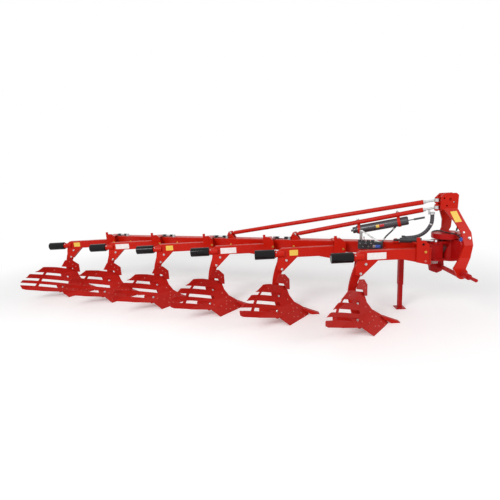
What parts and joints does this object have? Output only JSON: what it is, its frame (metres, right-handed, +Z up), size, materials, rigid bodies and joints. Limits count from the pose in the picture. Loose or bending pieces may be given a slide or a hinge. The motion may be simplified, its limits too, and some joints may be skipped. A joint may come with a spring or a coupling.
{
  "type": "moldboard plough",
  "caption": "Mounted one-way moldboard plough: slatted bodies stepped along a slanted beam, swivelling three-point headstock, stays, parking stand.",
  "frame": {"origin": "centre of the plough's footprint, on the ground under the shares", "axes": "+X forward along the furrow, +Y left over the unploughed land, +Z up"},
  "size_m": [6.2464, 2.8919, 1.501],
  "materials": {
    "red_enamel": "gloss",
    "body_enamel": "gloss",
    "black_enamel": "satin",
    "dark_steel": "satin",
    "plated_steel": "satin",
    "hose_rubber": "satin"
  },
  "bodies": {
    "plough_frame": {"accumulator": "black_enamel", "accumulator_clamps": "red_enamel", "accumulator_prop": "plated_steel", "arm_1": "red_enamel", "arm_2": "red_enamel", "arm_3": "red_enamel", "arm_4": "red_enamel", "arm_5": "red_enamel", "arm_6": "red_enamel", "beam_knuckle": "red_enamel", "hose_bundle": "hose_rubber", "hose_clip": "plated_steel", "hose_gland": "dark_steel", "leg_1": "red_enamel", "leg_2": "red_enamel", "leg_3": "red_enamel", "leg_4": "red_enamel", "leg_5": "red_enamel", "leg_6": "red_enamel", "main_beam": "red_enamel", "mouldboard_1": "body_enamel", "mouldboard_2": "body_enamel", "mouldboard_3": "body_enamel", "mouldboard_4": "body_enamel", "mouldboard_5": "body_enamel", "mouldboard_6": "body_enamel", "share_1": "body_enamel", "share_2": "body_enamel", "share_3": "body_enamel", "share_4": "body_enamel", "share_5": "body_enamel", "share_6": "body_enamel", "spring_cans": "black_enamel", "stand_sleeve": "red_enamel", "stay_bracket_lower": "red_enamel", "stay_bracket_upper": "red_enamel", "stay_ends": "plated_steel", "stay_lower": "red_enamel", "stay_upper": "red_enamel", "swivel_cylinder_barrel": "dark_steel", "swivel_cylinder_bracket": "red_enamel", "swivel_pin": "plated_steel", "tank_hose": "hose_rubber", "trash_boards": "body_enamel", "valve_block": "dark_steel", "width_spindles": "plated_steel"},
    "headstock": {"headstock_hub": "red_enamel", "headstock_plate_left": "red_enamel", "headstock_plate_right": "red_enamel", "lower_crossbar": "red_enamel", "lower_link_pin_left": "red_enamel", "lower_link_pin_right": "red_enamel", "mast_head": "red_enamel", "swivel_hose": "hose_rubber"},
    "cylinder_rod": {"swivel_cylinder_rod": "plated_steel"},
    "stand": {"stand_leg": "red_enamel"}
  },
  "joints": [
    {"name": "headstock_swivel", "type": "hinge", "parent": "plough_frame", "child": "headstock", "pos_m": [2.837, -0.649, 0.831], "axis": [0, 0, 1], "range_deg": [-8, 8]},
    {"name": "swivel_cylinder_stroke", "type": "slide", "parent": "plough_frame", "child": "cylinder_rod", "axis": [0.922, -0.3872, 0], "range_m": [-0.0125, 0.0125]},
    {"name": "stand_slide", "type": "slide", "parent": "plough_frame", "child": "stand", "axis": [0, 0, 1], "range_m": [0, 0.26]}
  ],
  "couplings": [
    {"joint": "swivel_cylinder_stroke", "follows": "headstock_swivel", "m_per_rad": 0.084}
  ]
}
